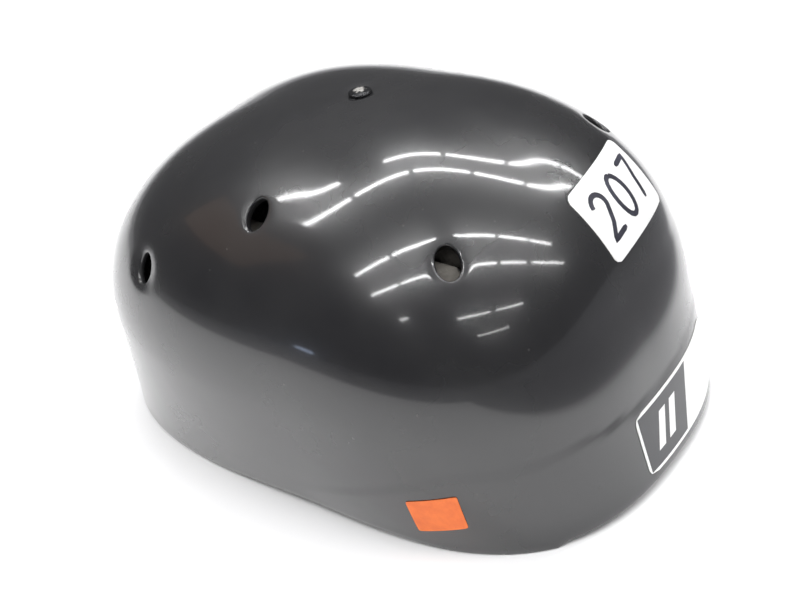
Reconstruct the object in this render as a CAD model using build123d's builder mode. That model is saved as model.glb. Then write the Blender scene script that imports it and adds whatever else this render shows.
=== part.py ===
from build123d import *
from math import asin, cos, pi, sin, sqrt
import os

os.makedirs("parts", exist_ok=True)

# Catcher-style skull-cap helmet: a moulded shell with foam blocks and soft pads inside.
# Frame: the rim stands on z = 0, the brow faces -Y, the wearer's left side is +X, and the
# origin is under the middle of the overall box.

# ---- driving dimensions, mm ----
# dome
half_width = 94.0  # from the middle to the side wall, at the widest plane
front_length = 104.5  # from the widest plane to the brow wall
rear_length = 138.0  # from the widest plane to the rear wall
shoulder_height = 54.5  # where the wall turns into the dome
crown_rise = 89.5  # from the shoulder to the crown
plan_power = 2.8  # 2 is an ellipse, more is squarer
crown_land = 0.99  # share of the crown's rise at which the dome ends in a small flat
shell_wall = 3.2

# the lower wall leans outwards or inwards by these amounts at the rim
brow_flare = 14.6
nape_flare = 10.8
side_tuck = 8.0
brow_lean_top = 76.0  # the level at which the brow starts to lean out
brow_lean_power = 1.25  # 1 is straight, more is hollower

# arches in the rim
brow_arch_width = 124.0
brow_arch_rise = 4.5
brow_arch_step = 2.0  # height of the abrupt ends of the brow arch
ear_arch_length = 122.0
ear_arch_rise = 3.0
ear_arch_y = -16.0

# vents: an oval hole in a shallow dish, three on each side
vent_length = 13.0
vent_width = 9.0
vent_dish_radius = 24.0
vent_dish_depth = 1.1
front_vent = (40.0, 43.0)  # in from the side wall, back from the brow wall
middle_vent = (32.0, 18.5)  # in from the side wall, behind the widest plane
rear_vent = (17.0, 62.5)  # in from the side wall, forward of the rear wall

# crown rivet
rivet_setback = 11.0  # behind the widest plane
rivet_head_radius = 4.7
rivet_head_edge = 0.9
rivet_head_rise = 1.7
rivet_shank_radius = 2.4
rivet_tail_radius = 3.8
rivet_tail_rise = 1.4
rivet_dish_radius = 20.0
rivet_dish_depth = 1.0
washer_radius = 7.0
washer_thickness = 1.0
shank_clearance = 0.1
seat_gap = 0.02

# liner layers, from the shell inwards
glue_gap = 0.3
foam_thickness = 11.0
patch_gap = 0.1
patch_thickness = 1.2
comfort_thickness = 5.0

# liner blocks
liner_floor = 13.0  # the wall blocks' lowest edge
brow_block_inset = 46.0  # from the side wall to the brow block's edge
rear_block_inset = 32.0
crown_block_inset = 48.0
crown_front_inset = 39.5  # from the brow wall to the front crown block
crown_rear_inset = 51.0  # from the rear wall to the rear crown block
side_front_inset = 33.5  # from the brow wall to the side blocks
side_rear_inset = 71.0  # from the rear wall to the side blocks
side_gap = 4.0  # from the crown blocks' edge to where the side blocks stop
side_block_rise = 57.0  # from the shoulder to the side blocks' top
brow_block_rise = 31.5
rear_block_rise = 35.5
crown_channel = 12.0  # from the rivet to each crown block
block_corner = 12.0
comfort_margin = 5.0  # a comfort pad stops this far inside its foam block's edge
patch_radius = 9.0

# stickers and labels
sticker_gap = 0.08
sticker_thickness = 0.3
brow_label_size = (70.0, 27.0)
brow_label_x = 14.0
brow_label_lift = 3.5  # above the brow arch
number_sticker_size = (50.0, 32.0)
number_sticker_place = (24.0, 17.5)  # x, and back from the brow wall
price_sticker_size = (20.5, 17.0)
price_sticker_place = (43.0, 21.0)  # back from the brow wall, and above the rim plane
price_sticker_turn = -15.0
size_label_size = (34.0, 20.0)
size_label_height = 46.0
sticker_corner = 3.5
price_sticker_corner = 0.8

# ---- derived values ----
widest_y = (front_length + brow_flare - rear_length - nape_flare) / 2
brow_wall_y = widest_y - front_length
rear_wall_y = widest_y + rear_length
reach = 2 * (front_length + rear_length)  # longer than anything that is cut
skirt = 9.0  # the surfaces are lofted this far below the rim, then trimmed
points_round = 24
wall_levels = 4
dome_levels = 9

foam_outside = shell_wall + glue_gap
foam_inside = foam_outside + foam_thickness
patch_outside = foam_inside + patch_gap
patch_inside = patch_outside + patch_thickness
comfort_outside = patch_inside + patch_gap
comfort_inside = comfort_outside + comfort_thickness
crown_z = shoulder_height + crown_rise * crown_land
rivet_y = widest_y + rivet_setback
vent_places = [
    (half_width - front_vent[0], brow_wall_y + front_vent[1]),
    (half_width - middle_vent[0], widest_y + middle_vent[1]),
    (half_width - rear_vent[0], rear_wall_y - rear_vent[1]),
]


def outline(level, inset):
    """Points round the helmet at a height, for the surface that lies this far inside the shell."""
    rise = crown_rise - inset
    height = max(level - shoulder_height, 0) / rise
    shrink = sqrt(1 - height**2)
    lean = (max(shoulder_height - level, 0) / shoulder_height) ** 2
    brow_lean = (max(brow_lean_top - level, 0) / brow_lean_top) ** brow_lean_power
    points = []
    for i in range(points_round):
        c = cos(2 * pi * i / points_round)
        s = sin(2 * pi * i / points_round)
        round_plan = (abs(c) ** plan_power + abs(s) ** plan_power) ** (-1 / plan_power)
        length = rear_length if s > 0 else front_length
        flare = nape_flare * lean if s > 0 else brow_flare * brow_lean
        x = (half_width - inset) * round_plan * c * shrink - side_tuck * c**3 * lean
        y = (length - inset) * round_plan * s * shrink + flare * s * abs(s)
        points.append((x, y + widest_y))
    return points


def dome(inset):
    """The solid inside one of the helmet's surfaces, from below the rim up to the crown's flat."""
    rise = crown_rise - inset
    walls = [(shoulder_height + skirt) * i / wall_levels - skirt for i in range(wall_levels)]
    tops = [shoulder_height + rise * sin(pi / 2 * i / dome_levels) for i in range(dome_levels)]
    with BuildPart() as volume:
        for level in walls + tops + [shoulder_height + rise * crown_land]:
            with BuildSketch(Plane.XY.offset(level)):
                with BuildLine():
                    Spline(outline(level, inset), periodic=True)
                make_face()
        loft()
    return volume.part


def layer(outside, inside):
    """The space between two of the helmet's surfaces, open at the bottom."""
    with BuildPart() as space:
        add(dome(outside))
        add(dome(inside), mode=Mode.SUBTRACT)
    return space.part


def dome_plane(x, y):
    """A plane on the outside of the dome, above the shoulder, with its X axis down the slope."""
    length = rear_length if y > widest_y else front_length
    u, v = abs(x) / half_width, abs(y - widest_y) / length
    r = (u**plan_power + v**plan_power) ** (1 / plan_power)
    z = crown_rise * sqrt(1 - r**2)
    slope = r ** (2 - plan_power)
    normal = Vector(
        slope * u ** (plan_power - 1) / half_width * (1 if x > 0 else -1),
        slope * v ** (plan_power - 1) / length * (1 if y > widest_y else -1),
        z / crown_rise**2,
    ).normalized()
    downhill = Vector(normal.X, normal.Y, 0).normalized()
    along = (downhill - normal * downhill.dot(normal)).normalized()
    return Plane(origin=(x, y, z + shoulder_height), x_dir=along, z_dir=normal)


def finish(piece, name):
    """Names a finished piece and writes it."""
    piece.label = name
    export_step(piece, f"parts/{name}.step")


# ---- shell ----
rivet_plane = Plane(origin=(0, rivet_y, crown_z))
with BuildPart() as shell:
    add(layer(0, shell_wall))
    split(bisect_by=Plane.XY, keep=Keep.TOP)
    # brow arch
    with BuildSketch(Plane.XZ):
        with BuildLine():
            half = brow_arch_width / 2
            Polyline((half - 1, brow_arch_step), (half, -1), (-half, -1), (1 - half, brow_arch_step))
            ThreePointArc((1 - half, brow_arch_step), (0, brow_arch_rise), (half - 1, brow_arch_step))
        make_face()
    extrude(amount=reach, mode=Mode.SUBTRACT)
    # ear arches
    with BuildSketch(Plane.YZ):
        with BuildLine():
            front, rear = ear_arch_y - ear_arch_length / 2, ear_arch_y + ear_arch_length / 2
            ThreePointArc((front, 0), (ear_arch_y, ear_arch_rise), (rear, 0))
            Polyline((rear, 0), (rear, -1), (front, -1), (front, 0))
        make_face()
    extrude(amount=reach, both=True, mode=Mode.SUBTRACT)
    # vents in their dishes
    for vent_x, vent_y in vent_places:
        for side in (-1, 1):
            vent_plane = dome_plane(side * vent_x, vent_y)
            with Locations(vent_plane.offset(vent_dish_radius - vent_dish_depth)):
                Sphere(vent_dish_radius, mode=Mode.SUBTRACT)
            with BuildSketch(vent_plane):
                Ellipse(vent_length / 2, vent_width / 2)
            extrude(amount=2 * shell_wall, both=True, mode=Mode.SUBTRACT)
    # crown rivet's dish and hole
    with Locations(rivet_plane.offset(rivet_dish_radius - rivet_dish_depth)):
        Sphere(rivet_dish_radius, mode=Mode.SUBTRACT)
    with BuildSketch(rivet_plane):
        Circle(rivet_shank_radius + shank_clearance)
    extrude(amount=2 * shell_wall, both=True, mode=Mode.SUBTRACT)
finish(shell.part, "shell")

# ---- crown rivet: a domed head outside, a shank through the shell and washer, a peened tail ----
dish_fall = rivet_dish_radius - sqrt(rivet_dish_radius**2 - rivet_head_radius**2)
head_seat = crown_z - rivet_dish_depth + dish_fall + seat_gap
shell_inside_z = shoulder_height + (crown_rise - shell_wall) * crown_land
washer_top = shell_inside_z - seat_gap
washer_bottom = washer_top - washer_thickness
tail_seat = washer_bottom - seat_gap
cap_rise = rivet_head_rise - rivet_head_edge
cap_radius = (rivet_head_radius**2 + cap_rise**2) / (2 * cap_rise)
half_angle = asin(rivet_head_radius / cap_radius) / 2
cap_fall = cap_radius * (1 - cos(half_angle))
head_shoulder = (cap_radius * sin(half_angle), head_seat + rivet_head_rise - cap_fall)
with BuildPart() as crown_rivet:
    with BuildSketch(Plane.XZ.offset(-rivet_y)):
        with BuildLine():
            head_edge = (rivet_head_radius, head_seat + rivet_head_edge)
            head_top = (0, head_seat + rivet_head_rise)
            ThreePointArc(head_edge, head_shoulder, head_top)
            Polyline(
                head_top,
                (0, tail_seat - rivet_tail_rise),
                (rivet_tail_radius * 0.8, tail_seat - rivet_tail_rise * 0.7),
                (rivet_tail_radius, tail_seat),
                (rivet_shank_radius, tail_seat),
                (rivet_shank_radius, head_seat),
                (rivet_head_radius, head_seat),
                head_edge,
            )
        make_face()
    revolve(axis=Axis((0, rivet_y, 0), (0, 0, 1)))
finish(crown_rivet.part, "crown_rivet")

with BuildPart() as crown_washer:
    with BuildSketch(Plane.XY.offset(washer_bottom)):
        with Locations((0, rivet_y)):
            Circle(washer_radius)
            Circle(rivet_shank_radius + shank_clearance, mode=Mode.SUBTRACT)
    extrude(amount=washer_thickness)
finish(crown_washer.part, "crown_washer")

# ---- liner: each block is foam on the shell, fastening patches, and a soft pad on them ----
rear_plane = Plane(origin=(0, 0, 0), x_dir=(-1, 0, 0), z_dir=(0, 1, 0))
crown_plane = Plane.XY.offset(shoulder_height)
brow_edge = half_width - brow_block_inset
rear_edge = half_width - rear_block_inset
crown_edge = half_width - crown_block_inset
crown_front = brow_wall_y + crown_front_inset
crown_rear = rear_wall_y - crown_rear_inset
side_front = brow_wall_y + side_front_inset
side_rear = rear_wall_y - side_rear_inset
side_plane = Plane.YZ.offset(crown_edge + side_gap)
brow_top = shoulder_height + brow_block_rise
side_top = shoulder_height + side_block_rise
rear_top = shoulder_height + rear_block_rise
# each block's sketch plane, then its lowest and highest corner on that plane
blocks = {
    "brow": (Plane.XZ, (-brow_edge, liner_floor), (brow_edge, brow_top)),
    "rear": (rear_plane, (-rear_edge, liner_floor), (rear_edge, rear_top)),
    "left_side": (side_plane, (side_front, liner_floor), (side_rear, side_top)),
    "crown_front": (crown_plane, (-crown_edge, crown_front), (crown_edge, rivet_y - crown_channel)),
    "crown_rear": (crown_plane, (-crown_edge, rivet_y + crown_channel), (crown_edge, crown_rear)),
}
foam_layer = layer(foam_outside, foam_inside)
patch_layer = layer(patch_outside, patch_inside)
comfort_layer = layer(comfort_outside, comfort_inside)
for block, (plane, low, high) in blocks.items():
    centre = ((low[0] + high[0]) / 2, (low[1] + high[1]) / 2)
    width, height = high[0] - low[0], high[1] - low[1]
    with BuildPart() as foam:
        add(foam_layer)
        with BuildSketch(plane):
            with Locations(centre):
                RectangleRounded(width, height, block_corner)
        extrude(amount=reach, mode=Mode.INTERSECT)

    with BuildPart() as patches:
        add(patch_layer)
        with BuildSketch(plane):
            with Locations(centre):
                with GridLocations(width / 2, 1, 2, 1):
                    Circle(patch_radius)
        extrude(amount=reach, mode=Mode.INTERSECT)

    with BuildPart() as comfort:
        add(comfort_layer)
        with BuildSketch(plane):
            with Locations(centre):
                pad_width, pad_height = width - 2 * comfort_margin, height - 2 * comfort_margin
                RectangleRounded(pad_width, pad_height, block_corner - comfort_margin / 2)
        extrude(amount=reach, mode=Mode.INTERSECT)

    for kind, piece in (("foam", foam), ("patches", patches), ("comfort_pad", comfort)):
        finish(piece.part, f"{block}_{kind}")
        if block == "left_side":
            finish(mirror(piece.part, about=Plane.YZ), f"right_side_{kind}")

# ---- stickers and labels: thin sheets that follow the surface ----
sticker_layer = layer(-sticker_gap - sticker_thickness, -sticker_gap)
with BuildPart() as brow_label:
    add(sticker_layer)
    with BuildSketch(Plane.XZ):
        with Locations((brow_label_x, brow_arch_rise + brow_label_lift + brow_label_size[1] / 2)):
            RectangleRounded(*brow_label_size, sticker_corner)
    extrude(amount=reach, mode=Mode.INTERSECT)
finish(brow_label.part, "brow_label")

number_plane = dome_plane(number_sticker_place[0], brow_wall_y + number_sticker_place[1])
with BuildPart() as number_sticker:
    add(sticker_layer)
    with BuildSketch(number_plane):
        RectangleRounded(number_sticker_size[1], number_sticker_size[0], sticker_corner)
    extrude(amount=number_sticker_size[0] / 2, both=True, mode=Mode.INTERSECT)
finish(number_sticker.part, "number_sticker")

with BuildPart() as price_sticker:
    add(sticker_layer)
    with BuildSketch(Plane.YZ):
        with Locations((brow_wall_y + price_sticker_place[0], price_sticker_place[1])):
            RectangleRounded(*price_sticker_size, price_sticker_corner, rotation=price_sticker_turn)
    extrude(amount=-reach, mode=Mode.INTERSECT)
finish(price_sticker.part, "price_sticker")

with BuildPart() as size_label:
    add(layer(comfort_inside + sticker_gap, comfort_inside + sticker_gap + sticker_thickness))
    with BuildSketch(rear_plane):
        with Locations((0, size_label_height)):
            RectangleRounded(*size_label_size, sticker_corner)
    extrude(amount=reach, mode=Mode.INTERSECT)
finish(size_label.part, "size_label")
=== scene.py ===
from math import atan2, cos, hypot, pi, radians, sin, sqrt

import bmesh
import bpy
from mathutils import Matrix, Vector


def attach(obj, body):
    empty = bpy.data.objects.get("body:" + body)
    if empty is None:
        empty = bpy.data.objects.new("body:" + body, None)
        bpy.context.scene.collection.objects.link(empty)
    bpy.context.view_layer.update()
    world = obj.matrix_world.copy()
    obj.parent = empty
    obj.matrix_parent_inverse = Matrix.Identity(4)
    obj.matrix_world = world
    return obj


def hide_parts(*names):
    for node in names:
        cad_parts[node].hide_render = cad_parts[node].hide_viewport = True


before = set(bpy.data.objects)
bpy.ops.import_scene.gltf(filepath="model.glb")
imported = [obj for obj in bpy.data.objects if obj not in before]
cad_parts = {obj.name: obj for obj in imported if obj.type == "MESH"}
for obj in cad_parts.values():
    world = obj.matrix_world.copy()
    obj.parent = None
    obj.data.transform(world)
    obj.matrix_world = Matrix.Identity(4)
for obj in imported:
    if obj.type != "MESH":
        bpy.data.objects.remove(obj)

bpy.ops.object.select_all(action="DESELECT")
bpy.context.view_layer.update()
scene = bpy.context.scene
MM = 0.001

# ---- the helmet's own sizes, mm ----
half_width = 94.0
front_length = 104.5
rear_length = 138.0
shoulder_height = 54.5
crown_rise = 89.5
plan_power = 2.8
shell_wall = 3.2
brow_flare = 14.6
nape_flare = 10.8
side_tuck = 8.0
brow_lean_top = 76.0
brow_lean_power = 1.25
widest_y = (front_length + brow_flare - rear_length - nape_flare) / 2
brow_wall_y = widest_y - front_length
rear_wall_y = widest_y + rear_length
rivet_y = widest_y + 11.0
brow_arch_width = 124.0
brow_arch_rise = 4.5
brow_arch_step = 2.0
ear_arch_length = 122.0
ear_arch_rise = 3.0
ear_arch_y = -16.0

# stickers and labels
sticker_corner = 3.5
brow_label_size = (70.0, 27.0)
brow_label_x = 14.0
brow_label_middle = brow_arch_rise + 3.5 + brow_label_size[1] / 2  # its level
number_sticker_size = (50.0, 32.0)
number_sticker_place = (24.0, brow_wall_y + 17.5)
price_sticker_size = (20.5, 17.0)
price_sticker_corner = 0.8
price_sticker_place = (brow_wall_y + 43.0, 21.0)  # y, and level
price_sticker_turn = radians(-15)

# soft pads
foam_voxel = 0.0024
pad_voxel = 0.0026
seam_half_width = 1.6
puff_limit = 2.2
cloth_frames = 20

# the brow band stands this far proud of the dome, below a soft crease
band_proud = 0.35
band_ramp = 1.6


def smooth(x):
    """0 below 0, 1 above 1, with a soft start and end."""
    x = min(max(x, 0.0), 1.0)
    return x * x * (3 - 2 * x)


# ---- the dome and wall as a formula ----
def rim_height(x, y):
    """How far the rim is arched up from the resting plane."""
    half = brow_arch_width / 2
    lift = 0.0
    if y < widest_y and abs(x) < half:
        bow = brow_arch_step + (brow_arch_rise - brow_arch_step) * (1 - (x / half) ** 2)
        lift = bow * smooth((half - abs(x)) / 2.2)
    reach = abs(y - ear_arch_y) / (ear_arch_length / 2)
    if reach < 1:
        lift = max(lift, ear_arch_rise * (1 - reach**2))
    return lift


def plan_factor(angle):
    return (abs(cos(angle)) ** plan_power + abs(sin(angle)) ** plan_power) ** (-1 / plan_power)


def brow_lean(angle, level):
    """How far the brow leans out here."""
    s = min(sin(angle), 0)
    return -brow_flare * s * s * (max(brow_lean_top - level, 0) / brow_lean_top) ** brow_lean_power


def wall_point(angle, level, inset=0.0):
    """A point on the wall below the dome's top, or this far inside it."""
    c, s, k = cos(angle), sin(angle), plan_factor(angle)
    lean = (max(shoulder_height - level, 0) / shoulder_height) ** 2
    shrink = sqrt(1 - (max(level - shoulder_height, 0) / (crown_rise - inset)) ** 2)
    length = rear_length if s > 0 else front_length
    x = (half_width - inset) * k * c * shrink - side_tuck * c**3 * lean
    y = (length - inset) * k * s * shrink + widest_y + brow_lean(angle, level)
    if s > 0:
        y += nape_flare * s * s * lean
    return Vector((x, y, level))


def skin_at(level, inset, x=None, y=None):
    """The point on the wall at a level with this x, on the brow, or this y, on the right side."""
    low, high = (pi * 1.05, pi * 1.95) if y is None else (pi * 1.02, pi * 1.48)
    for _ in range(40):
        middle = (low + high) / 2
        here = wall_point(middle, level, inset)
        short = here.x < x if y is None else here.y > y
        low, high = (middle, high) if short else (low, middle)
    return wall_point((low + high) / 2, level, inset)


def dome_height(x, y, inset=0.0):
    """The dome's level over a place in plan, or None outside it."""
    length = rear_length if y > widest_y else front_length
    u, v = abs(x) / (half_width - inset), abs(y - widest_y) / (length - inset)
    share = (u**plan_power + v**plan_power) ** (2 / plan_power)
    return shoulder_height + (crown_rise - inset) * sqrt(1 - share) if share < 1 else None


def dome_normal(x, y, z, inset=0.0):
    length = (rear_length if y > widest_y else front_length) - inset
    width = half_width - inset
    u, v = max(abs(x) / width, 1e-6), max(abs(y - widest_y) / length, 1e-6)
    share = u**plan_power + v**plan_power
    slope = share ** (2 / plan_power - 1)
    gx = slope * u ** (plan_power - 1) / width * (1 if x > 0 else -1)
    gy = slope * v ** (plan_power - 1) / length * (1 if y > widest_y else -1)
    gz = max(z - shoulder_height, 0) / (crown_rise - inset) ** 2
    return Vector((gx, gy, gz)).normalized()


def dome_value(p, inset):
    length = (rear_length if p.y > widest_y else front_length) - inset
    u, v = abs(p.x) / (half_width - inset), abs(p.y - widest_y) / length
    up = max(p.z - shoulder_height, 0) / (crown_rise - inset)
    return sqrt((u**plan_power + v**plan_power) ** (2 / plan_power) + up * up)


def onto_dome(p, direction, inset=0.0):
    """Slides a point along a direction until it lies on the dome."""
    for _ in range(6):
        value = dome_value(p, inset)
        step = 0.05
        slope = (dome_value(p + direction * step, inset) - value) / step
        p = p + direction * ((1 - value) / slope)
    return p


def dome_ring(angle, share, inset=0.0):
    """A point on the dome. Share is 1 at the shoulder and 0 at the crown rivet, which is the pole."""
    c, s, k = cos(angle), sin(angle), plan_factor(angle)
    length = rear_length if s > 0 else front_length
    x = (half_width - inset) * k * c * share
    y = (length - inset) * k * s * share + widest_y + (rivet_y - widest_y) * (1 - share**2) ** 2
    z = dome_height(x, y, inset)
    return Vector((x, y + brow_lean(angle, z), z))


def crease_height(x, y):
    """The level of the crease over the brow band, highest at the temples and falling towards the ears."""
    return 41.5 - 0.38 * max(0, y + 85) - 4.5 * (1 - smooth(abs(x) / 55)) * (1 if y < -60 else 0)


def band_offset(x, y, level):
    """How far the brow band stands proud here."""
    fade = smooth((-8 - y) / 34)
    return band_proud * fade * smooth((crease_height(x, y) - level) / band_ramp)


def skin_normal(angle, level):
    d = 0.002
    along = wall_point(angle + d, level) - wall_point(angle - d, level)
    up = wall_point(angle, level + 0.5) - wall_point(angle, level - 0.5)
    return along.cross(up).normalized()


# ---- vents: an oval hole in a shallow dish ----
vent_length = 13.0
vent_width = 9.0
vent_roll = 1.0  # radius of the soft edge
vents = []  # place in plan, dish radius, dish depth
for side in (-1, 1):
    vents.append((side * (half_width - 40.0), brow_wall_y + 43.0, 9.5, 0.55))
    vents.append((side * (half_width - 32.0), widest_y + 18.5, 9.0, 0.5))
    vents.append((side * (half_width - 17.0), rear_wall_y - 62.5, 12.5, 1.5))
rivet_dish = (9.5, 1.5)  # radius, depth


def dish_depth(p):
    """How far the skin is dished in at a point, by the vents and the crown rivet."""
    depth = 0.0
    for x, y, radius, deep in vents:
        away = (p - Vector((x, y, dome_height(x, y)))).length
        depth += deep * (1 - smooth(away / radius))
    crown = Vector((0, rivet_y, dome_height(0, rivet_y)))
    away = (p - crown).length / rivet_dish[0]
    if away < 1:
        depth += rivet_dish[1] * (1 - smooth((away - 0.35) / 0.65))
    return depth


def make_object(name, verts, faces, smooth_shaded=True):
    """A mesh object from points in mm."""
    mesh = bpy.data.meshes.new(name)
    mesh.from_pydata([tuple(v * MM) for v in verts], [], faces)
    mesh.validate()
    if smooth_shaded:
        mesh.polygons.foreach_set("use_smooth", [True] * len(mesh.polygons))
    piece = bpy.data.objects.new(name, mesh)
    scene.collection.objects.link(piece)
    return piece


def outward(piece):
    """Turns every face of a closed piece outwards."""
    bm = bmesh.new()
    bm.from_mesh(piece.data)
    bmesh.ops.remove_doubles(bm, verts=bm.verts, dist=0.000002)
    bmesh.ops.recalc_face_normals(bm, faces=bm.faces)
    if bm.calc_volume(signed=True) < 0:
        bmesh.ops.reverse_faces(bm, faces=bm.faces)
    bm.to_mesh(piece.data)
    bm.free()


# ---- shell: one grid that runs from the inside pole, down the inner wall, round the rim and up ----
columns = 288
wall_rows = 24
dome_rows = 66
rim_round = [(3.2, 0.7), (3.08, 0.2), (2.75, 0.0), (0.95, 0.0), (0.42, 0.12), (0.13, 0.42), (0.0, 0.95)]


def dome_shares():
    """Shares from the shoulder to the pole, closer together near the rivet's dish."""
    shares = [cos(pi / 2 * (j + 1) / dome_rows) for j in range(dome_rows - 8)]
    last = shares[-1]
    fine = 12
    return shares + [last * (1 - (j + 1) / fine) for j in range(fine - 1)]


def build_shell():
    shares = dome_shares()
    rows = []  # (inset, kind, place)
    rows += [(shell_wall, "dome", share) for share in reversed(shares)]
    rows += [(shell_wall, "wall", 1 - j / wall_rows) for j in range(wall_rows)]
    rows += [(inset, "rim", lift) for inset, lift in rim_round]
    rows += [(0.0, "wall", (j + 1) / wall_rows) for j in range(wall_rows)]
    rows += [(0.0, "dome", share) for share in shares]
    angles = [2 * pi * i / columns for i in range(columns)]
    feet = []
    for angle in angles:
        foot = wall_point(angle, 0)
        feet.append(rim_height(foot.x, foot.y))
    verts = []
    for inset, kind, place in rows:
        for i, angle in enumerate(angles):
            if kind == "dome":
                p = dome_ring(angle, place, inset)
                if inset == 0:
                    p = p - dome_normal(p.x, p.y, p.z) * dish_depth(p)
            else:
                start = feet[i] + (place if kind == "rim" else 0.95 if inset == 0 else 0.7)
                level = start if kind == "rim" else start + (shoulder_height - start) * place
                p = wall_point(angle, level, inset)
                offset = band_offset(p.x, p.y, level) * max(0.0, 1 - inset / shell_wall)
                if offset:
                    p = p + skin_normal(angle, level) * offset
            verts.append(p)
    faces = []
    removed = set()
    patches = []
    for x, y, *_ in vents:
        for inset in (0.0, shell_wall):
            patches.append(vent_patch(x, y, inset, rows, verts, removed))
    for j in range(len(rows) - 1):
        for i in range(columns):
            if (i, j) in removed:
                continue
            n = (i + 1) % columns
            low, high = j * columns, (j + 1) * columns
            faces.append((low + i, low + n, high + n, high + i))
    top = len(verts)
    crown_low = dome_ring(0, 0, shell_wall)
    crown_high = dome_ring(0, 0)
    verts += [crown_low, crown_high - Vector((0, 0, dish_depth(crown_high)))]
    last = (len(rows) - 1) * columns
    for i in range(columns):
        n = (i + 1) % columns
        faces.append((top, n, i))
        faces.append((last + i, last + n, top + 1))
    # vent patches and the walls of the holes
    for outer, inner in zip(patches[0::2], patches[1::2]):
        loops = []
        for ring_points, border in (outer, inner):
            count = len(border)
            rings = []
            for ring in ring_points:
                rings.append(list(range(len(verts), len(verts) + count)))
                verts += ring
            rings.append(border)
            for a, b in zip(rings, rings[1:]):
                for s in range(count):
                    n = (s + 1) % count
                    faces.append((a[s], a[n], b[n], b[s]))
            loops.append(rings[0])
        stitch(loops[0], loops[1], verts, faces)
    shell = make_object("helmet_shell", verts, faces)
    outward(shell)
    return shell


def stitch(loop_a, loop_b, verts, faces):
    """Joins two loops of different counts with a band of triangles, starting where they are nearest."""
    shift = min(range(len(loop_b)), key=lambda k: (verts[loop_b[k]] - verts[loop_a[0]]).length)
    loop_b = loop_b[shift:] + loop_b[:shift]
    if (verts[loop_b[1]] - verts[loop_a[1]]).length > (verts[loop_b[-1]] - verts[loop_a[1]]).length:
        loop_b = [loop_b[0]] + loop_b[:0:-1]
    a = b = 0
    while a < len(loop_a) or b < len(loop_b):
        here, there = loop_a[a % len(loop_a)], loop_b[b % len(loop_b)]
        if b >= len(loop_b) or (a < len(loop_a) and (a + 1) / len(loop_a) <= (b + 1) / len(loop_b)):
            faces.append((here, loop_a[(a + 1) % len(loop_a)], there))
            a += 1
        else:
            faces.append((here, loop_b[(b + 1) % len(loop_b)], there))
            b += 1


def vent_patch(x, y, inset, rows, verts, removed):
    """Clears a block of the grid round a vent and returns the rings that run from the hole to its border."""
    centre = Vector((x, y, dome_height(x, y)))
    normal = dome_normal(*centre)
    down = (Vector((normal.x, normal.y, 0)) - normal * (1 - normal.z**2)).normalized()
    across = normal.cross(down)
    middle = onto_dome(centre - normal * inset, normal, inset)
    allowed = [j for j, row in enumerate(rows) if row[1] == "dome" and row[0] == inset]
    places = [(j, i) for j in allowed for i in range(columns)]
    j0, i0 = min(places, key=lambda q: (verts[q[0] * columns + q[1]] - middle).length_squared)

    def at(di, dj):
        return (j0 + dj) * columns + (i0 + di) % columns

    wide = (verts[at(1, 0)] - verts[at(-1, 0)]).length / 2
    tall = (verts[at(0, 1)] - verts[at(0, -1)]).length / 2
    half_i, half_j = round(11.5 / wide), round(11.5 / tall)
    border = [at(i, -half_j) for i in range(-half_i, half_i)]
    border += [at(half_i, j) for j in range(-half_j, half_j)]
    border += [at(i, half_j) for i in range(half_i, -half_i, -1)]
    border += [at(-half_i, j) for j in range(half_j, -half_j, -1)]
    for dj in range(-half_j, half_j):
        for di in range(-half_i, half_i):
            removed.add(((i0 + di) % columns, j0 + dj))
    steps = [0, 0.2, 0.5]
    if inset == 0:
        steps = [0, 0.012, 0.028, 0.05, 0.08, 0.12, 0.18, 0.26, 0.36, 0.48, 0.62, 0.8]
    rings = []
    for step in steps:
        ring = []
        for index in border:
            away = verts[index] - middle
            u, v = away.dot(down), away.dot(across)
            turn = atan2(v / vent_width, u / vent_length)
            hole_u, hole_v = cos(turn) * vent_length / 2, sin(turn) * vent_width / 2
            gap = hypot(u - hole_u, v - hole_v)
            pu, pv = hole_u + (u - hole_u) * step, hole_v + (v - hole_v) * step
            p = onto_dome(middle + down * pu + across * pv, normal, inset)
            if inset == 0:
                from_edge = gap * step
                drop = dish_depth(p)
                if from_edge < vent_roll:
                    drop += vent_roll - sqrt(vent_roll**2 - (vent_roll - from_edge) ** 2)
                p = p - normal * drop
            ring.append(p)
        rings.append(ring)
    return rings, border


shell = build_shell()


# ---- shader groups ----
def new_group(name, inputs, outputs):
    group = bpy.data.node_groups.new(name, "ShaderNodeTree")
    for label, kind, value in inputs:
        socket = group.interface.new_socket(label, in_out="INPUT", socket_type=kind)
        if value is not None:
            socket.default_value = value
    for label, kind in outputs:
        group.interface.new_socket(label, in_out="OUTPUT", socket_type=kind)
    return group, group.nodes.new("NodeGroupInput"), group.nodes.new("NodeGroupOutput")


def noise_node(nodes, links, vector, scale, detail=3.0, rough=0.6):
    noise = nodes.new("ShaderNodeTexNoise")
    links.new(vector, noise.inputs["Vector"])
    noise.inputs["Scale"].default_value = scale
    noise.inputs["Detail"].default_value = detail
    noise.inputs["Roughness"].default_value = rough
    return noise


def map_range(nodes, links, value, low, high, to_low, to_high):
    node = nodes.new("ShaderNodeMapRange")
    links.new(value, node.inputs["Value"])
    for label, number in (("From Min", low), ("From Max", high), ("To Min", to_low), ("To Max", to_high)):
        node.inputs[label].default_value = number
    return node.outputs["Result"]


def mix_colour(nodes, links, factor, a, b):
    node = nodes.new("ShaderNodeMix")
    node.data_type = "RGBA"
    links.new(factor, node.inputs[0])
    for socket, value in ((node.inputs[6], a), (node.inputs[7], b)):
        if hasattr(value, "links"):
            links.new(value, socket)
        else:
            socket.default_value = value
    return node.outputs[2]


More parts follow.
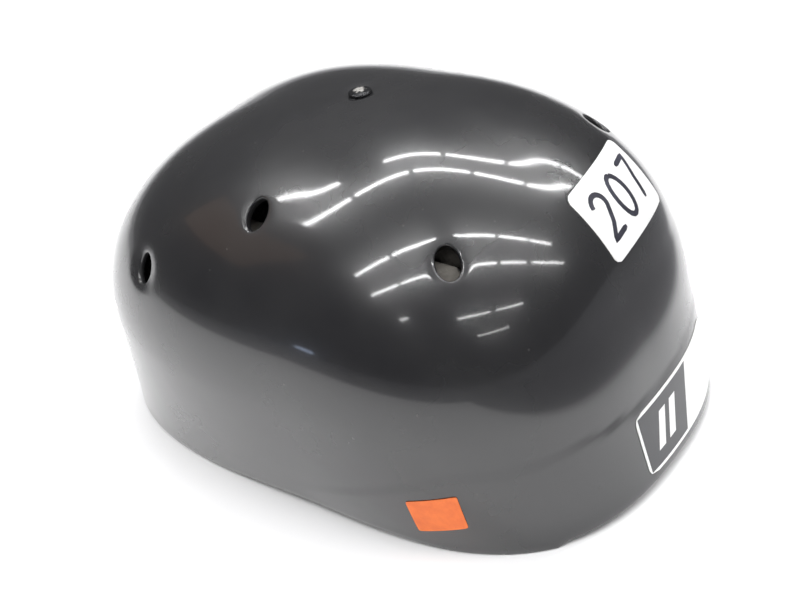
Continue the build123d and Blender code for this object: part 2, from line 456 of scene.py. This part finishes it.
def maths(nodes, links, operation, a, b=None):
    node = nodes.new("ShaderNodeMath")
    node.operation = operation
    for socket, value in zip(node.inputs, (a, b)):
        if hasattr(value, "links"):
            links.new(value, socket)
        elif value is not None:
            socket.default_value = value
    return node.outputs[0]


def scuff_group():
    """Handling marks: fine scratches in two directions, and specks of dust."""
    group, inp, out = new_group(
        "scuffs_and_dust",
        [
            ("Vector", "NodeSocketVector", None),
            ("Scratch", "NodeSocketFloat", 1.0),
            ("Dust", "NodeSocketFloat", 1.0),
        ],
        [("Scratches", "NodeSocketFloat"), ("Dust", "NodeSocketFloat"), ("Patches", "NodeSocketFloat")],
    )
    nodes, links = group.nodes, group.links
    lines = []
    for turn, scale in (((0.4, 0.2, 0.9), (30, 900, 60)), ((1.3, 0.5, 2.2), (700, 24, 40))):
        spin = nodes.new("ShaderNodeMapping")
        links.new(inp.outputs["Vector"], spin.inputs["Vector"])
        spin.inputs["Rotation"].default_value = turn
        spin.inputs["Scale"].default_value = scale
        marks = noise_node(nodes, links, spin.outputs["Vector"], 1.0, 2.0, 0.5)
        lines.append(map_range(nodes, links, marks.outputs["Fac"], 0.66, 0.78, 0, 1))
    either = maths(nodes, links, "MAXIMUM", lines[0], lines[1])
    patch = noise_node(nodes, links, inp.outputs["Vector"], 16, 4.0)
    patchy = map_range(nodes, links, patch.outputs["Fac"], 0.38, 0.7, 0, 1)
    scratches = maths(nodes, links, "MULTIPLY", either, patchy)
    links.new(maths(nodes, links, "MULTIPLY", scratches, inp.outputs["Scratch"]), out.inputs["Scratches"])
    cells = nodes.new("ShaderNodeTexVoronoi")
    links.new(inp.outputs["Vector"], cells.inputs["Vector"])
    cells.inputs["Scale"].default_value = 260
    specks = map_range(nodes, links, cells.outputs["Distance"], 0.05, 0.13, 1, 0)
    speckle = noise_node(nodes, links, inp.outputs["Vector"], 45, 2.0)
    some = map_range(nodes, links, speckle.outputs["Fac"], 0.56, 0.66, 0, 1)
    dust = maths(nodes, links, "MULTIPLY", specks, some)
    links.new(maths(nodes, links, "MULTIPLY", dust, inp.outputs["Dust"]), out.inputs["Dust"])
    links.new(patchy, out.inputs["Patches"])
    return group


def cell_group():
    """Small cells under a skin, as on foam and on knitted cloth."""
    group, inp, out = new_group(
        "cells",
        [("Vector", "NodeSocketVector", None), ("Scale", "NodeSocketFloat", 400.0)],
        [("Height", "NodeSocketFloat"), ("Tone", "NodeSocketFloat")],
    )
    nodes, links = group.nodes, group.links
    cells = nodes.new("ShaderNodeTexVoronoi")
    links.new(inp.outputs["Vector"], cells.inputs["Vector"])
    links.new(inp.outputs["Scale"], cells.inputs["Scale"])
    links.new(map_range(nodes, links, cells.outputs["Distance"], 0.1, 0.62, 1, 0), out.inputs["Height"])
    tone = noise_node(nodes, links, inp.outputs["Vector"], 60, 4.0)
    links.new(map_range(nodes, links, tone.outputs["Fac"], 0.3, 0.7, 0, 1), out.inputs["Tone"])
    return group


scuffs = scuff_group()
cells = cell_group()


def new_material(name, roughness, colour=(0.5, 0.5, 0.5, 1)):
    material = bpy.data.materials.new(name)
    material.use_nodes = True
    nodes, links = material.node_tree.nodes, material.node_tree.links
    shader = nodes["Principled BSDF"]
    shader.inputs["Base Color"].default_value = colour
    shader.inputs["Roughness"].default_value = roughness
    place = nodes.new("ShaderNodeTexCoord").outputs["Object"]
    return material, nodes, links, shader, place


def use_group(nodes, links, group, place, **values):
    node = nodes.new("ShaderNodeGroup")
    node.node_tree = group
    links.new(place, node.inputs["Vector"])
    for label, value in values.items():
        node.inputs[label].default_value = value
    return node


def bump(nodes, links, height, shader, strength, distance):
    node = nodes.new("ShaderNodeBump")
    node.inputs["Strength"].default_value = strength
    node.inputs["Distance"].default_value = distance
    links.new(height, node.inputs["Height"])
    links.new(node.outputs["Normal"], shader.inputs["Normal"])
    return node


def shell_material():
    """Black moulded plastic with a hard gloss over a softer, handled sheen."""
    material, nodes, links, shader, place = new_material("gloss_black_shell", 0.42)
    marks = use_group(nodes, links, scuffs, place, Scratch=0.8, Dust=0.35)
    black, wear_and_glint = (0.011, 0.011, 0.0125, 1), (0.018, 0.018, 0.019, 1)
    tone = mix_colour(nodes, links, marks.outputs["Patches"], black, wear_and_glint)
    dusty = mix_colour(nodes, links, marks.outputs["Dust"], tone, (0.2, 0.19, 0.18, 1))
    links.new(dusty, shader.inputs["Base Color"])
    rough = map_range(nodes, links, marks.outputs["Patches"], 0, 1, 0.24, 0.3)
    links.new(rough, shader.inputs["Roughness"])
    shader.inputs["Coat Weight"].default_value = 0.8
    shader.inputs["Specular IOR Level"].default_value = 0.55
    shader.inputs["Coat Roughness"].default_value = 0.07
    shader.inputs["Coat IOR"].default_value = 1.5
    ripple = noise_node(nodes, links, place, 28, 2.0)
    height = maths(nodes, links, "MULTIPLY", marks.outputs["Scratches"], 0.05)
    wavy = maths(nodes, links, "MULTIPLY", ripple.outputs["Fac"], 1.0)
    joined = maths(nodes, links, "SUBTRACT", wavy, height)
    bump(nodes, links, joined, shader, 0.25, 0.0003)
    return material


def inside_material():
    """The shell's inside face: the same plastic, less polished."""
    material, nodes, links, shader, place = new_material("satin_black_inside", 0.5)
    marks = use_group(nodes, links, scuffs, place, Scratch=0.5, Dust=1.0)
    black, wear_and_glint = (0.014, 0.014, 0.015, 1), (0.03, 0.03, 0.031, 1)
    tone = mix_colour(nodes, links, marks.outputs["Patches"], black, wear_and_glint)
    links.new(tone, shader.inputs["Base Color"])
    links.new(map_range(nodes, links, marks.outputs["Patches"], 0, 1, 0.42, 0.6), shader.inputs["Roughness"])
    grain = noise_node(nodes, links, place, 900, 2.0)
    bump(nodes, links, grain.outputs["Fac"], shader, 0.2, 0.0002)
    return material


def dress(piece, *materials):
    piece.data.materials.clear()
    for material in materials:
        piece.data.materials.append(material)


def settle(piece, node):
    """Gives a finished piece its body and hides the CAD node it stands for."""
    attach(piece, "root")
    if node:
        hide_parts(*([node] if isinstance(node, str) else node))


gloss_black = shell_material()
satin_black = inside_material()
dress(shell, gloss_black, satin_black)
for face in shell.data.polygons:
    middle = Vector(face.center) / MM
    if middle.z > 3 and Vector(face.normal).dot(middle - Vector((0, widest_y, 40))) < 0:
        face.material_index = 1
settle(shell, "shell")


# ---- liner: foam blocks, fastening patches and soft pads ----
def copy_node(node, name, voxel):
    """A copy of a CAD node's mesh as a new, evenly meshed closed piece."""
    source = bpy.data.objects[node]
    mesh = source.data.copy()
    mesh.name = name
    mesh.transform(source.matrix_world)
    piece = bpy.data.objects.new(name, mesh)
    scene.collection.objects.link(piece)
    outward(piece)
    remesh = piece.modifiers.new("remesh", "REMESH")
    remesh.mode = "VOXEL"
    remesh.voxel_size = voxel
    remesh.use_smooth_shade = True
    soften = piece.modifiers.new("soften", "SMOOTH")
    soften.factor = 0.5
    soften.iterations = 3
    apply_all(piece)
    return piece


def apply_all(piece):
    bpy.ops.object.select_all(action="DESELECT")
    bpy.context.view_layer.objects.active = piece
    piece.select_set(True)
    for modifier in list(piece.modifiers):
        bpy.ops.object.modifier_apply(modifier=modifier.name)
    piece.select_set(False)


def foam_material():
    """Closed-cell foam: grey-brown, with fine cells under a dull skin."""
    material, nodes, links, shader, place = new_material("liner_foam", 0.85)
    skin = use_group(nodes, links, cells, place, Scale=620.0)
    tone = mix_colour(nodes, links, skin.outputs["Tone"], (0.075, 0.07, 0.062, 1), (0.13, 0.12, 0.105, 1))
    links.new(tone, shader.inputs["Base Color"])
    bump(nodes, links, skin.outputs["Height"], shader, 0.5, 0.0004)
    return material


def fabric_material(name, low, high, weave):
    """Knitted or woven cloth: rows of loops that follow the piece."""
    material, nodes, links, shader, place = new_material(name, 0.9)
    skin = use_group(nodes, links, cells, place, Scale=weave)
    tone = mix_colour(nodes, links, skin.outputs["Tone"], low, high)
    # painted shade: the recesses between the loops, where the bump sinks, are painted darker
    gap_painted_shade = (low[0] * 0.6, low[1] * 0.6, low[2] * 0.6, 1)
    shaded = mix_colour(nodes, links, skin.outputs["Height"], gap_painted_shade, tone)
    links.new(shaded, shader.inputs["Base Color"])
    shader.inputs["Sheen Weight"].default_value = 0.25
    bump(nodes, links, skin.outputs["Height"], shader, 0.7, 0.0005)
    return material


def metal_material(name, colour, roughness, metallic, glint_colour=None):
    """A small metal part, brushed, with a painted highlight where a glint colour is given: a bright disc
    painted in its middle.
    """
    material, nodes, links, shader, place = new_material(name, roughness, colour)
    shader.inputs["Metallic"].default_value = metallic
    brushed = noise_node(nodes, links, place, 800, 2.0)
    smoother, rougher = roughness - 0.08, roughness + 0.1
    rough = map_range(nodes, links, brushed.outputs["Fac"], 0.3, 0.7, smoother, rougher)
    links.new(rough, shader.inputs["Roughness"])
    if glint_colour:
        # painted highlight: a light disc with a ragged edge, 1.6 to 2.6 mm round the rivet's axis, mixed
        # into the base colour
        spin = nodes.new("ShaderNodeMapping")
        spin.inputs["Location"].default_value = (0, -rivet_y * MM, 0)
        spin.inputs["Scale"].default_value = (1, 1, 0)
        links.new(place, spin.inputs["Vector"])
        away = nodes.new("ShaderNodeVectorMath")
        away.operation = "LENGTH"
        links.new(spin.outputs["Vector"], away.inputs[0])
        ragged = noise_node(nodes, links, place, 500, 3.0)
        wander = map_range(nodes, links, ragged.outputs["Fac"], 0.3, 0.7, -0.001, 0.001)
        reach = maths(nodes, links, "ADD", away.outputs["Value"], wander)
        wear_and_glint = map_range(nodes, links, reach, 0.0016, 0.0026, 1, 0)
        links.new(mix_colour(nodes, links, wear_and_glint, colour, glint_colour), shader.inputs["Base Color"])
    bump(nodes, links, brushed.outputs["Fac"], shader, 0.15, 0.0001)
    return material


def puff(piece, node, limit):
    """Blows a pad up inside its cover, held at its back and along its quilting seams."""
    centre = Vector((0, widest_y, 40)) * MM
    pinned = []
    for v in piece.data.vertices:
        faces_shell = Vector(v.normal).dot((v.co - centre).normalized()) > 0.35
        if faces_shell or seam_distance(node, v.co / MM) < seam_half_width:
            pinned.append(v.index)
    group = piece.vertex_groups.new(name="held")
    group.add(pinned, 1.0, "REPLACE")
    start = [v.co.copy() for v in piece.data.vertices]
    cloth = piece.modifiers.new("cloth", "CLOTH")
    cloth.settings.quality = 6
    cloth.settings.use_pressure = True
    cloth.settings.uniform_pressure_force = 4
    cloth.settings.effector_weights.gravity = 0
    cloth.settings.tension_stiffness = 15
    cloth.settings.compression_stiffness = 15
    cloth.settings.bending_stiffness = 0.5
    cloth.settings.vertex_group_mass = "held"
    cloth.collision_settings.use_collision = False
    for number in range(1, cloth_frames + 1):
        scene.frame_set(number)
    moved = piece.evaluated_get(bpy.context.evaluated_depsgraph_get())
    for v, old, new in zip(piece.data.vertices, start, [v.co.copy() for v in moved.data.vertices]):
        step = new - old
        if step.length > limit * MM:
            step = step.normalized() * limit * MM
        v.co = old + step
    piece.modifiers.remove(cloth)
    scene.frame_set(1)
    piece.vertex_groups.clear()


def seam_distance(node, p):
    """How far a point is from the pad's nearest quilting seam."""
    if node.startswith("crown"):
        return min(abs(p.x - 14), abs(p.x + 14))
    if "side" in node:
        return min(abs(p.y + widest_y - 12 - k) for k in (-24, 8))
    return min(abs(p.x - 22), abs(p.x + 22))


foam_look = foam_material()
pad_look = fabric_material("knitted_cover", (0.03, 0.03, 0.033, 1), (0.06, 0.06, 0.065, 1), 900.0)
hook_look = fabric_material("hook_tape", (0.015, 0.015, 0.016, 1), (0.04, 0.04, 0.042, 1), 1300.0)
for block in ("brow", "rear", "left_side", "right_side", "crown_front", "crown_rear"):
    foam = copy_node(f"{block}_foam", f"{block}_foam_block", foam_voxel)
    dress(foam, foam_look)
    settle(foam, f"{block}_foam")
    pad = copy_node(f"{block}_comfort_pad", f"{block}_soft_pad", pad_voxel)
    puff(pad, block, puff_limit)
    finer = pad.modifiers.new("finer", "SUBSURF")
    finer.levels = finer.render_levels = 1
    apply_all(pad)
    dress(pad, pad_look)
    settle(pad, f"{block}_comfort_pad")
    dress(bpy.data.objects[f"{block}_patches"], hook_look)
zinc = metal_material("zinc_washer", (0.55, 0.55, 0.57, 1), 0.35, 1.0)
dress(bpy.data.objects["crown_washer"], zinc)


# ---- crown rivet ----
def build_rivet():
    """The rivet as a turned piece: domed head, shank and peened tail."""
    crown = shoulder_height + crown_rise * 0.99
    seat = crown - 0.42
    tail = shoulder_height + (crown_rise - shell_wall) * 0.99 - 1.04
    profile = [(0, seat + 1.7), (1.6, seat + 1.62), (3.0, seat + 1.4), (4.1, seat + 1.02)]
    profile += [(4.55, seat + 0.72), (4.7, seat + 0.4), (4.66, seat + 0.08), (4.5, seat)]
    profile += [(2.4, seat), (2.4, tail), (3.8, tail)]
    profile += [(3.6, tail - 0.6), (2.8, tail - 1.1), (0, tail - 1.4)]
    count = 48
    verts, faces = [], []
    for radius, level in profile[1:-1]:
        for i in range(count):
            turn = 2 * pi * i / count
            verts.append(Vector((radius * cos(turn), rivet_y + radius * sin(turn), level)))
    verts += [Vector((0, rivet_y, profile[0][1])), Vector((0, rivet_y, profile[-1][1]))]
    top, bottom, rows = len(verts) - 2, len(verts) - 1, len(profile) - 2
    for j in range(rows - 1):
        for i in range(count):
            n = (i + 1) % count
            faces.append((j * count + i, j * count + n, (j + 1) * count + n, (j + 1) * count + i))
    for i in range(count):
        n = (i + 1) % count
        faces.append((i, n, top))
        faces.append(((rows - 1) * count + n, (rows - 1) * count + i, bottom))
    rivet = make_object("crown_rivet_turned", verts, faces)
    outward(rivet)
    return rivet


rivet = build_rivet()
# the rivet's light middle is a painted highlight that stands in for a reflection of the ceiling lights
dress(rivet, metal_material("black_rivet_painted_glint", (0.02, 0.02, 0.022, 1), 0.3, 0.6, (0.62, 0.6, 0.57, 1)))
settle(rivet, "crown_rivet")


# ---- stickers and labels: thin sheets with rounded corners that follow the skin ----
def rounded_outline(width, height, corner, count=96):
    """Points round a rounded rectangle, centred on the origin."""
    points = []
    for i in range(count):
        turn = 2 * pi * (i + 0.5) / count
        corner_x = (width / 2 - corner) * (1 if cos(turn) > 0 else -1)
        corner_y = (height / 2 - corner) * (1 if sin(turn) > 0 else -1)
        scale = min(width / 2 / max(abs(cos(turn)), 1e-6), height / 2 / max(abs(sin(turn)), 1e-6))
        x, y = cos(turn) * scale, sin(turn) * scale
        over_x, over_y = x - corner_x, y - corner_y
        if over_x * corner_x > 0 and over_y * corner_y > 0:
            away = hypot(over_x, over_y)
            x, y = corner_x + over_x / away * corner, corner_y + over_y / away * corner
        points.append((x, y))
    return points


def sheet_on(name, edge, onto, low, high, rings=14):
    """A closed thin sheet: its flat places are laid on the skin between two heights above it."""
    flat = []
    for r in range(rings):
        flat += [(x * (1 - r / rings), y * (1 - r / rings)) for x, y in edge]
    flat.append((0, 0))
    count, size = len(edge), len(flat)
    verts = [onto(x, y, high) for x, y in flat] + [onto(x, y, low) for x, y in flat]
    faces = []
    for base in (0, size):
        for r in range(rings - 1):
            for i in range(count):
                n = (i + 1) % count
                a, b = base + r * count, base + (r + 1) * count
                faces.append((a + i, a + n, b + n, b + i))
        last = base + (rings - 1) * count
        faces += [(last + i, last + (i + 1) % count, base + size - 1) for i in range(count)]
    faces += [(i, (i + 1) % count, size + (i + 1) % count, size + i) for i in range(count)]
    piece = make_object(name, verts, faces, False)
    place = piece.data.attributes.new("place", "FLOAT_VECTOR", "POINT")
    for index, (x, y) in enumerate(flat + flat):
        place.data[index].vector = (x, y, 0)
    bm = bmesh.new()
    bm.from_mesh(piece.data)
    bmesh.ops.recalc_face_normals(bm, faces=bm.faces)
    bm.to_mesh(piece.data)
    bm.free()
    return piece


number_centre = Vector((*number_sticker_place, dome_height(*number_sticker_place)))
number_normal = dome_normal(*number_centre)
number_level = Vector((number_normal.x, number_normal.y, 0))
number_down = (number_level - number_normal * (1 - number_normal.z**2)).normalized()
number_across = number_normal.cross(number_down)


def on_crown(x, y, lift):
    return onto_dome(number_centre + number_down * y + number_across * x, number_normal, -lift)


def on_brow(x, y, lift):
    return skin_at(brow_label_middle + y, -lift, x=brow_label_x + x)


def on_side(x, y, lift):
    turn = price_sticker_turn
    across, up = x * cos(turn) - y * sin(turn) * 0.4, x * sin(turn) + y * cos(turn)
    return skin_at(price_sticker_place[1] + up, -lift, y=price_sticker_place[0] + across)


def place_nodes(nodes, links):
    """The flat place on a sticker, in mm."""
    flat = nodes.new("ShaderNodeAttribute")
    flat.attribute_name = "place"
    parts = nodes.new("ShaderNodeSeparateXYZ")
    links.new(flat.outputs["Vector"], parts.inputs["Vector"])
    return parts.outputs["X"], parts.outputs["Y"]


def paper_material(name, colour, shade, roughness, coat=0.0):
    material, nodes, links, shader, place = new_material(name, roughness)
    fibres = noise_node(nodes, links, place, 220, 4.0)
    fleck = map_range(nodes, links, fibres.outputs["Fac"], 0.35, 0.7, 0, 1)
    tone = mix_colour(nodes, links, fleck, colour, shade)
    links.new(tone, shader.inputs["Base Color"])
    shader.inputs["Coat Weight"].default_value = coat
    bump(nodes, links, fibres.outputs["Fac"], shader, 0.15, 0.0001)
    return material, nodes, links, shader, tone


def band(nodes, links, value, low, high):
    """1 between two values, 0 outside them."""
    over = maths(nodes, links, "GREATER_THAN", value, low)
    return maths(nodes, links, "MULTIPLY", over, maths(nodes, links, "LESS_THAN", value, high))


def label_material():
    """White vinyl with a dark field on one side that holds two plain leaning bars."""
    white, shade = (0.85, 0.85, 0.84, 1), (0.78, 0.78, 0.77, 1)
    material, nodes, links, shader, tone = paper_material("brow_label_vinyl", white, shade, 0.35, 0.4)
    x, y = place_nodes(nodes, links)
    leaning = maths(nodes, links, "SUBTRACT", x, maths(nodes, links, "MULTIPLY", y, 0.45))
    rows = band(nodes, links, y, -12.2, 12.2)
    field = maths(nodes, links, "MULTIPLY", rows, band(nodes, links, leaning, -40.0, 1.0))
    field = maths(nodes, links, "MULTIPLY", field, maths(nodes, links, "GREATER_THAN", x, -33.7))
    tall = band(nodes, links, y, -7.0, 7.0)
    first = band(nodes, links, leaning, -23.0, -18.0)
    second = band(nodes, links, leaning, -14.5, -9.5)
    bars = maths(nodes, links, "MULTIPLY", tall, maths(nodes, links, "ADD", first, second))
    dark = maths(nodes, links, "SUBTRACT", field, bars)
    dark = maths(nodes, links, "MAXIMUM", dark, 0.0)
    links.new(mix_colour(nodes, links, dark, tone, (0.03, 0.03, 0.035, 1)), shader.inputs["Base Color"])
    return material


def ribbon(path, width, steps=6):
    """Left and right edges of a marker stroke along a path."""
    fine = []
    for (ax, ay), (bx, by) in zip(path, path[1:]):
        fine += [(ax + (bx - ax) * k / steps, ay + (by - ay) * k / steps) for k in range(steps)]
    fine.append(path[-1])
    left, right = [], []
    for i, (x, y) in enumerate(fine):
        bx, by = fine[max(i - 1, 0)]
        ax, ay = fine[min(i + 1, len(fine) - 1)]
        long = hypot(ax - bx, ay - by)
        nx, ny = -(ay - by) / long, (ax - bx) / long
        half = width / 2 * (0.55 if i in (0, len(fine) - 1) else 1.0)
        left.append((x + nx * half, y + ny * half))
        right.append((x - nx * half, y - ny * half))
    return left, right


def arc(cx, cy, rx, ry, start, end, count=10):
    turns = [start + (end - start) * k / count for k in range(count + 1)]
    return [(cx + rx * cos(radians(a)), cy + ry * sin(radians(a))) for a in turns]


def add_digits(piece, onto, ink):
    """Three hand-drawn marker digits on a sticker, as thin closed strokes."""
    strokes = [
        arc(-14, 4.5, 4.2, 4.5, 170, -20) + [(-13.5, -3.5), (-18.5, -9), (-9, -8.6)],
        arc(0.5, 0, 4.6, 9, 75, 435, 20),
        [(10, 8.6), (19.5, 8.9), (15.5, 0), (13.5, -9)],
    ]
    bm = bmesh.new()
    bm.from_mesh(piece.data)
    for path in strokes:
        left, right = ribbon(path, 2.2)
        rails = []
        for side, lift in ((left, 0.46), (right, 0.46), (right, 0.3), (left, 0.3)):
            rails.append([bm.verts.new(onto(x, -y, lift) * MM) for x, y in side])
        made = []
        for a, b in zip(rails, rails[1:] + rails[:1]):
            made += [bm.faces.new((a[k], a[k + 1], b[k + 1], b[k])) for k in range(len(a) - 1)]
        made.append(bm.faces.new([rail[0] for rail in rails]))
        made.append(bm.faces.new([rail[-1] for rail in reversed(rails)]))
        bmesh.ops.recalc_face_normals(bm, faces=made)
        for face in made:
            face.material_index = 1
    bm.to_mesh(piece.data)
    bm.free()
    piece.data.materials.append(ink)


number_outline = rounded_outline(*number_sticker_size, sticker_corner)
number_sheet = sheet_on("number_sticker_sheet", number_outline, on_crown, 0.08, 0.34)
paper_white, paper_shade = (0.86, 0.86, 0.85, 1), (0.8, 0.8, 0.79, 1)
white_paper = paper_material("white_coated_paper", paper_white, paper_shade, 0.55)[0]
dress(number_sheet, white_paper)
ink = paper_material("marker_ink", (0.02, 0.02, 0.03, 1), (0.05, 0.05, 0.07, 1), 0.4)[0]
add_digits(number_sheet, on_crown, ink)
settle(number_sheet, "number_sticker")

brow_outline = rounded_outline(*brow_label_size, sticker_corner)
brow_sheet = sheet_on("brow_label_sheet", brow_outline, on_brow, 0.45, 0.7)
dress(brow_sheet, label_material())
settle(brow_sheet, "brow_label")

price_outline = rounded_outline(*price_sticker_size, price_sticker_corner)
price_sheet = sheet_on("price_sticker_sheet", price_outline, on_side, 0.45, 0.62)
orange, orange_shade = (0.9, 0.2, 0.04, 1), (0.8, 0.16, 0.035, 1)
dress(price_sheet, paper_material("orange_price_paper", orange, orange_shade, 0.6)[0])
settle(price_sheet, "price_sticker")
size_look = paper_material("size_vinyl", (0.75, 0.75, 0.73, 1), (0.68, 0.68, 0.66, 1), 0.5)[0]
dress(bpy.data.objects["size_label"], size_look)


# ---- floor, lights and camera ----
def emitter(name, place, size, radiance, aim, turn=0.0, colour=(1, 1, 1), shiny=True):
    """A rectangular light of a given brightness."""
    data = bpy.data.lights.new(name, "AREA")
    data.shape = "RECTANGLE"
    data.size, data.size_y = size
    data.energy = radiance * pi * size[0] * size[1]
    data.color = colour
    light = bpy.data.objects.new(name, data)
    facing = (Vector(aim) - Vector(place)).to_track_quat("-Z", "Y").to_matrix().to_4x4()
    light.matrix_world = Matrix.Translation(place) @ facing @ Matrix.Rotation(turn, 4, "Z")
    light.visible_camera = False
    light.visible_glossy = shiny
    scene.collection.objects.link(light)
    return light


# rows of ceiling tubes, parallel, each row at its own distance from the helmet
ceiling = 2.4
tube_heading = Vector((0.75, -0.66, 0)).normalized()
tube_side = Vector((0.66, 0.75, 0)).normalized()
tube_width = 0.05
tube_rows = [  # distance to the side, then where each tube starts and ends along its row
    (1.0, [(-2.0, -1.15), (-0.3, 0.85), (0.95, 2.1), (2.2, 3.4), (3.5, 4.7)]),
    (0.62, [(-2.3, -1.2), (-1.1, 0.05), (0.15, 1.3), (1.4, 2.6), (2.7, 4.2)]),
    (-0.75, [(-2.6, -1.3), (-1.2, 0.0), (0.45, 1.6), (1.7, 2.9), (3.0, 4.4)]),
    (-1.45, [(-2.8, -1.6), (-1.5, -0.35), (0.4, 1.6), (1.75, 2.95), (3.3, 6.5)]),
    (-2.75, [(-2.75, -2.3)]),
    (-3.35, [(-0.3, 1.3), (1.6, 3.4)]),
    (-5.1, [(0.5, 2.8)]),
]


def light_ceiling():
    for row, (aside, tubes) in enumerate(tube_rows):
        for number, (start, end) in enumerate(tubes):
            middle = tube_heading * (start + end) / 2 + tube_side * aside
            place = (middle.x, middle.y, ceiling)
            below = (middle.x, middle.y, 0)
            tube = emitter(f"tube_{row}_{number}", place, (end - start, tube_width), 52.0, below)
            turn = atan2(tube_heading.y, tube_heading.x)
            tube.matrix_world = Matrix.Translation(place) @ Matrix.Rotation(turn, 4, "Z")


light_ceiling()
emitter("soft_key", (-0.5, -0.4, 1.6), (1.6, 1.6), 1.0, (0, 0, 0), shiny=False)
emitter("soft_fill", (0.9, 1.0, 1.5), (1.4, 1.4), 1.0, (0, 0, 0), shiny=False)
emitter("warm_wall", (-0.9, 1.5, 1.1), (0.9, 0.5), 0.3, (0, 0, 0), colour=(1.0, 0.62, 0.4))
emitter("blue_glint", (-1.9, 1.15, 0.06), (0.16, 0.05), 6.0, (0, 0, 0.06), colour=(0.62, 0.74, 1.0))


def build_floor():
    bpy.ops.mesh.primitive_circle_add(vertices=96, radius=3.0, fill_type="NGON", location=(0, 0, 0))
    floor = bpy.context.object
    floor.name = "floor"
    material, nodes, links, shader, place = new_material("pale_floor", 0.6)
    # painted pool of light: the floor's colour is pale near the helmet and painted darker grey from 0.75 m
    # to 1.3 m away
    painted_pool_distance = nodes.new("ShaderNodeVectorMath")
    painted_pool_distance.operation = "LENGTH"
    links.new(place, painted_pool_distance.inputs[0])
    near = map_range(nodes, links, painted_pool_distance.outputs["Value"], 0.75, 1.3, 0, 1)
    paper = noise_node(nodes, links, place, 40, 3.0)
    pale = mix_colour(nodes, links, paper.outputs["Fac"], (0.9, 0.9, 0.9, 1), (0.86, 0.86, 0.87, 1))
    beyond = nodes.new("ShaderNodeVectorMath")
    beyond.operation = "DOT_PRODUCT"
    links.new(place, beyond.inputs[0])
    beyond.inputs[1].default_value = (0.3615, -0.932, 0)
    ahead = map_range(nodes, links, beyond.outputs["Value"], 0.2, 0.235, 0, 1)
    parts = nodes.new("ShaderNodeSeparateXYZ")
    links.new(place, parts.inputs["Vector"])
    aside = map_range(nodes, links, parts.outputs["X"], -0.5, -0.56, 0, 1)
    edge = maths(nodes, links, "MAXIMUM", ahead, aside)
    # the painted falloff of light away from the helmet
    far = mix_colour(nodes, links, near, pale, (0.3, 0.3, 0.31, 1))
    links.new(mix_colour(nodes, links, edge, far, (0.16, 0.16, 0.17, 1)), shader.inputs["Base Color"])
    dress(floor, material)
    return floor


build_floor()


def build_world():
    world = bpy.data.worlds.new("room")
    world.use_nodes = True
    nodes, links = world.node_tree.nodes, world.node_tree.links
    heading = nodes.new("ShaderNodeTexCoord").outputs["Generated"]
    parts = nodes.new("ShaderNodeSeparateXYZ")
    links.new(heading, parts.inputs["Vector"])
    ramp = nodes.new("ShaderNodeValToRGB")
    links.new(parts.outputs["Z"], ramp.inputs["Fac"])
    stops = [(0.0, 0.1), (0.12, 0.12), (0.4, 0.16), (0.75, 0.3), (1.0, 0.4)]
    while len(ramp.color_ramp.elements) < len(stops):
        ramp.color_ramp.elements.new(0.5)
    for element, (where, level) in zip(ramp.color_ramp.elements, stops):
        element.position = where
        element.color = (level, level, level * 1.02, 1)
    links.new(ramp.outputs["Color"], nodes["Background"].inputs["Color"])
    nodes["Background"].inputs["Strength"].default_value = 1.0
    scene.world = world


build_world()

# the camera looks at the right brow quarter from above
camera_azimuth = radians(-48.6)
camera_elevation = radians(33.76)
camera_roll = radians(-10.95)
camera_distance = 0.541
camera_target = Vector((-0.0134, -0.01557, 0.05559))
camera_lens = 58.5


def build_camera():
    data = bpy.data.cameras.new("camera")
    data.lens, data.sensor_width = camera_lens, 36.0
    data.clip_start, data.clip_end = 0.01, 50
    camera = bpy.data.objects.new("camera", data)
    level = cos(camera_elevation)
    back = Vector((sin(camera_azimuth) * level, -cos(camera_azimuth) * level, sin(camera_elevation)))
    right = (-back).cross(Vector((0, 0, 1))).normalized()
    up = right.cross(-back)
    turned_right = right * cos(camera_roll) + up * sin(camera_roll)
    turned_up = up * cos(camera_roll) - right * sin(camera_roll)
    place = Matrix((turned_right, turned_up, back)).transposed().to_4x4()
    camera.matrix_world = Matrix.Translation(camera_target + back * camera_distance) @ place
    scene.collection.objects.link(camera)
    scene.camera = camera


build_camera()
scene.view_settings.view_transform = "Standard"
scene.view_settings.exposure = 0.0
